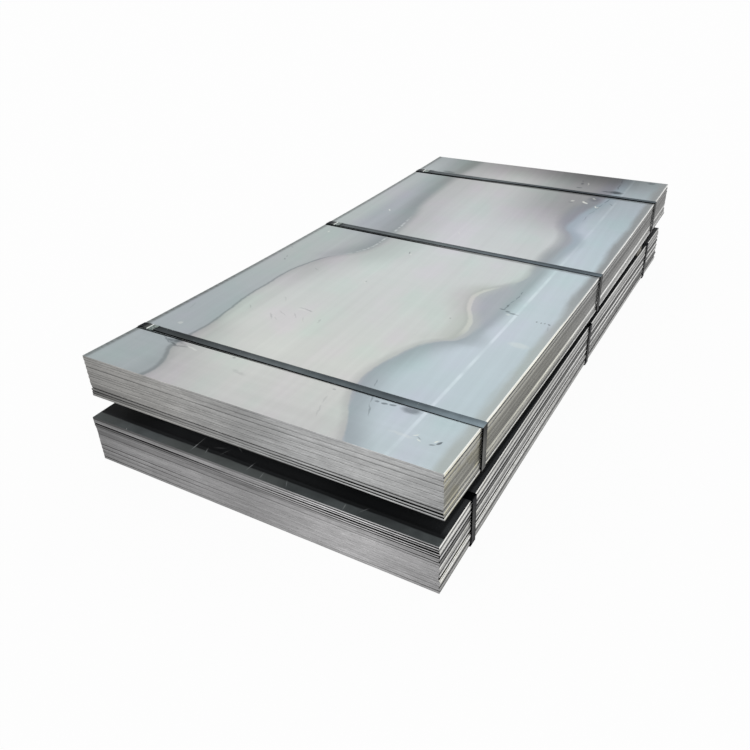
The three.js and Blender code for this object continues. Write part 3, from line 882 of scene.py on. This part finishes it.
# Painted highlight: how much brighter an end's lip and a side's ledge are made.
END_LIP = 1.08  # an end's lip is so much brighter than the end
SIDE_LEDGE = 1.1  # and a side's ledge than its lip
SEAM_SHADE = 0.95  # the share of its light that a ledge loses to a full seam above it
BRIGHTEST = {"grey": 0.97, "lip": 0.98, "ledge": 0.93}  # the most on a side


def plate_sections(node):
    """The CAD plate from its near end to its far end, as [section, side, level, xyz]."""
    points = sorted(points_of(node), key=lambda point: point[1])
    sections = []
    for start in range(0, len(points), 4):
        four = sorted(points[start:start + 4])
        sections.append([sorted(pair, key=lambda point: point[2]) for pair in (four[:2], four[2:])])
    return np.array(sections)


def smooth_section(sections, share):
    """The section at a share of the length, on a smooth curve through the CAD's sections."""
    last = len(sections) - 1
    at = min(share * last, last - 1e-9)
    index = int(at)
    t = at - index
    p1, p2 = sections[index], sections[index + 1]
    p0 = sections[index - 1] if index > 0 else 2 * p1 - p2
    p3 = sections[index + 2] if index + 2 <= last else 2 * p2 - p1
    return 0.5 * (2 * p1 + (p2 - p0) * t + (2 * p0 - 5 * p1 + 4 * p2 - p3) * t * t
                  + (3 * p1 - p0 - 3 * p2 + p3) * t * t * t)


def edge_profile(rows, i, j, seed, droop):
    """A plate's outline at cell corner i, j of its rim, from the top face round to the underside.
    Each point is its place, its level from 1 to -1, and 1 where it lies inside the rim."""
    place = Vector((i * 0.37, j * 0.29, seed * 3.7))
    dent = EDGE_DENT * (1 + wave(*place))
    top = EDGE_ROUND + TOP_WEAR * abs(wave(*(place * 1.3)))
    base = EDGE_ROUND + BASE_WEAR * abs(wave(*(place * 1.7)))
    left, right = rows[j]
    faces = [Vector(left[k] + (right[k] - left[k]) * (i / ACROSS)) for k in (1, 0)]
    inward = Vector(((i == 0) - (i == ACROSS), (j == 0) - (j == ALONG), 0))
    down = spread(droop, i / ACROSS) * MM * math.exp(-j / DROOP_CELLS)
    steps = [  # which face, how far in from the edge, how far below that face, level, inside
        (0, LEDGE, 0, 1, 1), (0, dent + top, 0, 1, 0), (0, dent + 0.3 * top, 0.3 * top, 1, 0),
        (0, dent, top, 0.85, 0), (1, dent, -base, -0.85, 0),
        (1, dent + 0.3 * base, -0.3 * base, -1, 0), (1, dent + base, 0, -1, 0), (1, LEDGE, 0, -1, 1),
    ]
    return [(faces[face] + inward * inset - Vector((0, 0, drop + down)), level, inside)
            for face, inset, drop, level, inside in steps]


def rim_look(first, second, look):
    """How the edge looks at two neighbouring cell corners of the rim."""
    along_x = first[1] == second[1]
    side = (0 if first[1] == 0 else 2) if along_x else (1 if first[0] == ACROSS else 3)
    return [look(SIDES[side], i / ACROSS if along_x else j / ALONG) for i, j in (first, second)]


def plate_mesh(node, seed, materials, look, droop):
    """A plate with worn, slightly uneven edges. materials are its top, edge and underside."""
    sections = plate_sections(node)
    rows = [smooth_section(sections, j / ALONG) for j in range(ALONG + 1)]
    rim = [(i, 0) for i in range(ACROSS)] + [(ACROSS, j) for j in range(ALONG)]
    rim += [(i, ALONG) for i in range(ACROSS, 0, -1)] + [(0, j) for j in range(ALONG, 0, -1)]
    profiles = {spot: edge_profile(rows, *spot, seed, droop) for spot in rim}
    size = len(profiles[rim[0]])
    start = {spot: size * k for k, spot in enumerate(rim)}
    vertices = [vertex for spot in rim for vertex, _, _ in profiles[spot]]
    faces, picks = [], []
    values = {key: [] for key in ("grey", "lip", "seam", "ledge", "level", "inside")}

    def add_face(corners, pick, numbers):
        faces.append(corners)
        picks.append(pick)
        for number in numbers:
            for key, value in zip(values, number):
                values[key].append(value)

    for k, first in enumerate(rim):
        second = rim[(k + 1) % len(rim)]
        looks = rim_look(first, second, look)
        for step in range(size - 1):
            quad = ((first, 0, step + 1), (second, 1, step + 1), (second, 1, step), (first, 0, step))
            numbers = [(*looks[which], *profiles[spot][m][1:]) for spot, which, m in quad]
            pick = 0 if step == 0 else 2 if step == size - 2 else 1
            add_face([start[spot] + m for spot, _, m in quad], pick, numbers)

    # Strips across the plate close the top face and the underside.
    for j in range(ALONG):
        near = [(i, 0) for i in range(ACROSS + 1)] if j == 0 else [(0, j), (ACROSS, j)]
        far = [(0, j + 1), (ACROSS, j + 1)]
        if j == ALONG - 1:
            far = [(i, ALONG) for i in range(ACROSS + 1)]
        loop = near + far[::-1]
        for pick, m, level in ((0, 0, 1), (2, size - 1, -1)):
            corners = [start[spot] + m for spot in loop]
            add_face(corners[::level], pick, [(0, 0, 0, 0, level, 1)] * len(corners))
    return add_mesh(node, vertices, faces, materials, picks, values, "CORNER")


def droop_of(number):
    lowest = max(UPPER_DROOPS)
    slack = max(0, 1 - max(0, number - lowest) / SLACK_PLATES)
    return [slack * value for value in UPPER_DROOPS[min(number, lowest)]]


def plate_look(greys, row, above, seed):
    """How a plate's edge looks at a share of one of its sides: its grey, lip, seam and ledge.
    above is the row of the plate on top of it."""
    near, near_seam, right, right_seam, right_lip = row
    seam_above = above[1] if above else (1,)

    def look(side, share):
        at_end = side in ("near", "far")
        ripple = 1 + (END_RIPPLE if at_end else SIDE_RIPPLE) * wave(share * RIPPLES, seed * 2.3, 0.4)
        if at_end:
            grey = spread(greys["near"], share) / 255 * spread(near, share) * ripple
            ledge = grey * (1 - SEAM_SHADE * min(spread(seam_above, share), 1))
            return grey, grey * END_LIP, spread(near_seam, share), ledge
        grey = spread(greys["right"], share) / 255 * spread(right, share) * ripple
        lip = spread(greys["right"], share) / 255 * spread(right_lip, share) * ripple
        return (min(grey, BRIGHTEST["grey"]), min(lip, BRIGHTEST["lip"]), spread(right_seam, share),
                min(lip * SIDE_LEDGE, BRIGHTEST["ledge"]))

    return look


def add_plates():
    edge, skin = edge_material(), skin_material()
    bundles = [("upper", 0, top_material(), UPPER_GREYS, UPPER_LOOKS),
               ("lower", 40, dark_skin_material(), LOWER_GREYS, LOWER_LOOKS)]
    for bundle, first_seed, outer, greys, looks in bundles:
        for place, row in enumerate(looks):
            number = len(looks) - place
            node = f"{bundle}_plate_{number:02d}"
            droop = droop_of(number) if bundle == "upper" else (0,)
            look = plate_look(greys, row, looks[place - 1] if place else None, first_seed + number)
            materials = [skin if place else outer, edge, skin]
            finish_piece(plate_mesh(node, first_seed + number, materials, look, droop), node, "plate")


# ---- Straps and seals ----

# How far a strap stands off the top plate, in millimetres, by its distance from the left side.
LIFT = [(0, 0), (16, 0.6), (40, 1.0), (90, 0.9), (300, 0.7), (600, 0.5), (900, 0.3), (1250, 0)]
CORNER_RADIUS = 2.2 * MM
CORNER_STEPS = 5
SIDE_STEPS = 8
TOP_STEPS = 90
UNDER_STEPS = 40
STRAP_ROUND = 0.3 * MM  # the rounding of a strap's own edges
SWAY = 0.6 * MM  # how far a strap wanders sideways
SEED_STEP = 1.9

# How each upper strap looks: its screen greys over the bundle, evenly spaced from the left side, how
# far its dark near rim reaches there (-1 to 1), and its greys down its sides.
# The dark near rim is painted shadow, and the greys carry painted sheen and shade besides the strap's
# own tone.
STRAP_LOOKS = {
    "upper_strap_front": (
        (34, 70, 68, 80, 92, 100, 108, 96, 92, 96, 102, 128, 146),
        (-0.68, -0.68, -0.85), (52, 72, 92, 100, 106, 110, 112, 112)),
    "upper_strap_middle": (
        (40, 100, 100, 104, 106, 104, 108, 118, 106, 104, 102, 90, 112),
        (-0.75, -0.75), (70, 88, 84, 80, 78, 82, 86, 86)),
    "upper_strap_back": (
        (60, 100, 108, 112, 118, 108, 94, 88, 76, 78, 88, 94, 100),
        (-0.9, -0.9, -0.8, -0.6, -0.3, -0.2, -0.2, -0.2, -0.3), (70, 80, 80, 80)),
}
# The same for each strap of the lower bundle, and where the near rim lies on all straps' sides.
# The lower straps are painted dark as shade where they run between the bundles, and the near part of
# every strap's side is painted black as the shadow of the gap behind it.
LOWER_STRAP_LOOK = ((26,), (-1,), (26, 40, 62, 72, 74, 70, 62, 54))
SIDE_SHADOW_RIM = -0.5

SEAL_LENGTH = 44 * MM
SEAL_START = 27.5 * MM  # from the strap's left side
SEAL_STEPS = 44
SEAL_BESIDE = 1.3 * MM  # how far it reaches out beside the strap
SEAL_BEYOND = 1.1 * MM  # and above and below it
SEAL_WALL = 1.0 * MM
SEAL_ROUND = 1.0 * MM
SEAL_LIP = 9 * MM  # how far the clip is folded in under the strap
CRIMPS = (0.3, 0.7)  # their places as shares of the seal's length
CRIMP_DEPTH = 1.6 * MM
CRIMP_REACH = 0.07
FLARE = 1.1 * MM  # how far the seal's ends stand out
FLARE_REACH = 0.05


class Band:
    """Where a CAD strap lies: its middle, its axes and half its size across and up."""

    def __init__(self, node):
        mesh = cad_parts[node].data
        edges = [mesh.vertices[edge.vertices[1]].co - mesh.vertices[edge.vertices[0]].co
                 for edge in mesh.edges]
        self.wide = min(edges, key=lambda edge: abs(edge.length - STRAP_WIDTH)).normalized()
        if self.wide.y < 0:
            self.wide = -self.wide
        self.up = Vector((1, 0, 0)).cross(self.wide).normalized()
        self.across = self.wide.cross(self.up)
        axes = (self.across, self.wide, self.up)
        reaches = [[Vector(point).dot(axis) for point in points_of(node)] for axis in axes]
        self.middle = sum((axis * ((min(reach) + max(reach)) / 2)
                           for axis, reach in zip(axes, reaches)), Vector())
        self.half_across, _, self.half_up = [(max(reach) - min(reach)) / 2 for reach in reaches]

    def point(self, u, w, n):
        return self.middle + self.across * u + self.wide * w + self.up * n


def lift_at(band, u, seed):
    from_left = (u + band.half_across) / MM
    return MM * np.interp(from_left, *zip(*LIFT)) * (1 + 0.15 * wave(from_left / 160, seed, 0.3))


def strap_path(band, seed):
    """Points (across, up, out) round the bundle along the middle of the strap's thickness."""
    a = band.half_across - STRAP_THICKNESS / 2
    h = band.half_up - STRAP_THICKNESS / 2
    r = CORNER_RADIUS
    path = []

    def arc(cu, cn, start):
        for k in range(CORNER_STEPS + 1):
            angle = math.radians(start + 90 * k / CORNER_STEPS)
            out = (math.cos(angle), math.sin(angle))
            path.append((cu + r * out[0], cn + r * out[1], out))

    def run(u0, n0, u1, n1, steps, out):
        for k in range(1, steps):
            u, n = u0 + (u1 - u0) * k / steps, n0 + (n1 - n0) * k / steps
            path.append((u, n + (lift_at(band, u, seed) if out == (0, 1) else 0), out))

    arc(a - r, -h + r, -90)
    run(a, -h + r, a, h - r, SIDE_STEPS, (1, 0))
    arc(a - r, h - r, 0)
    run(a - r, h, -a + r, h, TOP_STEPS, (0, 1))
    arc(-a + r, h - r, 90)
    run(-a, h - r, -a, -h + r, SIDE_STEPS, (-1, 0))
    arc(-a + r, -h + r, 180)
    run(-a + r, -h, a - r, -h, UNDER_STEPS, (0, -1))
    return path


def strap_mesh(name, band, material, number):
    """A flat closed band with rounded edges."""
    half_w, half_t, soft = STRAP_WIDTH / 2, STRAP_THICKNESS / 2, STRAP_ROUND
    under = [(-half_w, -half_t + soft)]
    under += [(w, -half_t) for w in (-half_w + soft, -half_w / 2, 0, half_w / 2, half_w - soft)]
    under.append((half_w, -half_t + soft))
    profile = under + [(w, -t) for w, t in under[::-1]]
    over, shadow_rims, down = STRAP_LOOKS.get(name, LOWER_STRAP_LOOK)
    path = strap_path(band, number * SEED_STEP)
    vertices, across, greys, rim = [], [], [], []
    for k, (u, n, out) in enumerate(path):
        sway = SWAY * wave(k * 0.11, number * 2.1, 0.5)
        share = 0.5 + 0.5 * u / band.half_across
        on_top = out[1] > 0.5
        grey = spread(over, share) if on_top else spread(down, 0.5 - 0.5 * n / band.half_up)
        for w, t in profile:
            vertices.append(band.point(u + out[0] * t, w + sway, n + out[1] * t))
            across.append(w / half_w)
            greys.append(grey / 255)
            rim.append(spread(shadow_rims, share) if on_top else SIDE_SHADOW_RIM)
    faces = list(ring_faces(len(profile), len(path), True))
    values = {"across": across, "grey": greys, "rim": rim}
    return add_mesh(name, vertices, faces, [material], None, values)


def seal_ring(band, share, seed):
    """The clip's section at a share of its length: its outer outline and back along the inner."""
    u = SEAL_START - band.half_across + SEAL_LENGTH * share
    level = band.half_up + lift_at(band, u, seed)
    pinch = CRIMP_DEPTH * sum(math.exp(-((share - crimp) / CRIMP_REACH) ** 2) for crimp in CRIMPS)
    flare = FLARE * (math.exp(-(share / FLARE_REACH) ** 2)
                     + 0.6 * math.exp(-((1 - share) / FLARE_REACH) ** 2))
    half = STRAP_WIDTH / 2 + SEAL_BESIDE - pinch
    top = level + SEAL_BEYOND + flare * 0.6 - 0.35 * pinch
    bottom = level - STRAP_THICKNESS - SEAL_BEYOND
    right = [(0, top), (half * 0.5, top + 0.1 * MM), (half - SEAL_ROUND, top), (half, top - SEAL_ROUND),
             (half, bottom + 0.8 * MM), (half - SEAL_ROUND, bottom), (half - SEAL_LIP, bottom)]
    outer = [(-w, n) for w, n in right[:0:-1]] + right
    inner = []
    for w, n in outer:
        if abs(w) > half - 1.5 * MM:
            w -= math.copysign(SEAL_WALL, w)
        if n < bottom + 0.3 * MM:
            n += 0.7 * MM
        elif n > top - 0.3 * MM:
            n -= 0.9 * MM
        inner.append((w, n))
    return [band.point(u, w, n) for w, n in outer + inner[::-1]]


def seal_mesh(name, band, material, number):
    """A folded clip round the strap, crimped at both sides and flared at its ends."""
    shares = [k / SEAL_STEPS for k in range(SEAL_STEPS + 1)]
    rings = [seal_ring(band, share, number * SEED_STEP) for share in shares]
    size = len(rings[0])
    faces = [(a, d, c, b) for a, b, c, d in ring_faces(size, len(rings))]
    for base, turn in ((0, 1), (SEAL_STEPS * size, -1)):
        for m in range(size // 2 - 1):
            quad = (base + m, base + m + 1, base + size - 2 - m, base + size - 1 - m)
            faces.append(quad[::turn])
    along = [share for share in shares for _ in range(size)]
    return add_mesh(name, sum(rings, []), faces, [material], None, {"along": along})


def add_straps():
    strap, seal = strap_material(), seal_material()
    for number, (bundle, place) in enumerate(
            (b, p) for b in ("upper", "lower") for p in ("front", "middle", "back")):
        band = Band(f"{bundle}_strap_{place}")
        for kind, mesh_of, material in (("strap", strap_mesh, strap), ("seal", seal_mesh, seal)):
            node = f"{bundle}_{kind}_{place}"
            finish_piece(mesh_of(node, band, material, number), node, kind)


# ---- Timber bearers ----

BEARER_STEPS = 60
BEARER_CHAMFER = 3 * MM
BEARER_LEVELS = (24 * MM, 46 * MM)  # rows of points up its long sides
BEARER_DENT = 0.7 * MM
BEARER_SEEDS = {"front": 3.1, "back": 8.4}


def bearer_mesh(node, seed, material):
    """A sawn beam with soft corners, following the CAD's height at both of its long sides."""
    low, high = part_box(node)
    heights = {}
    for _, y, z in points_of(node):
        place = round(y, 5)
        heights[place] = max(z, heights.get(place, z))
    ys, zs = zip(*sorted(heights.items()))
    near, far, floor = low[1], high[1], low[2]
    inner_near, inner_far = near + BEARER_CHAMFER, far - BEARER_CHAMFER
    levels = [floor + BEARER_CHAMFER] + [floor + level for level in BEARER_LEVELS]
    outline = [(inner_near, floor), (inner_far, floor)] + [(far, level) for level in levels]
    outline += [(y, np.interp(y, ys, zs)) for y in (far, inner_far, inner_near, near)]
    outline += [(near, level) for level in levels[::-1]]
    vertices = []
    for k in range(BEARER_STEPS + 1):
        x = low[0] + (high[0] - low[0]) * k / BEARER_STEPS
        for y, z in outline:
            inward = 1 if y > (near + far) / 2 else -1
            dent = BEARER_DENT * (1 + wave(x * 9, y * 30 + seed, z * 40)) * inward
            vertices.append((x, y - dent, z))
    size = len(outline)
    faces = [quad[::-1] for quad in ring_faces(size, BEARER_STEPS + 1)]
    faces.append(tuple(range(size)))
    faces.append(tuple(range(BEARER_STEPS * size, len(vertices)))[::-1])
    return add_mesh(node, vertices, faces, [material])


def add_bearers():
    timber = timber_material()
    for place, seed in BEARER_SEEDS.items():
        node = f"bearer_{place}"
        finish_piece(bearer_mesh(node, seed, timber), node, "timber")


# ---- The scene ----

bpy.context.scene.view_settings.view_transform = "Standard"
add_camera()
add_light()
add_floor()
add_plates()
add_straps()
add_bearers()

boxes = [[list(map(float, corner)) for corner in box] for box in (cad_bounds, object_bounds())]
"\n".join(json.dumps(box) for box in boxes) + "\n"
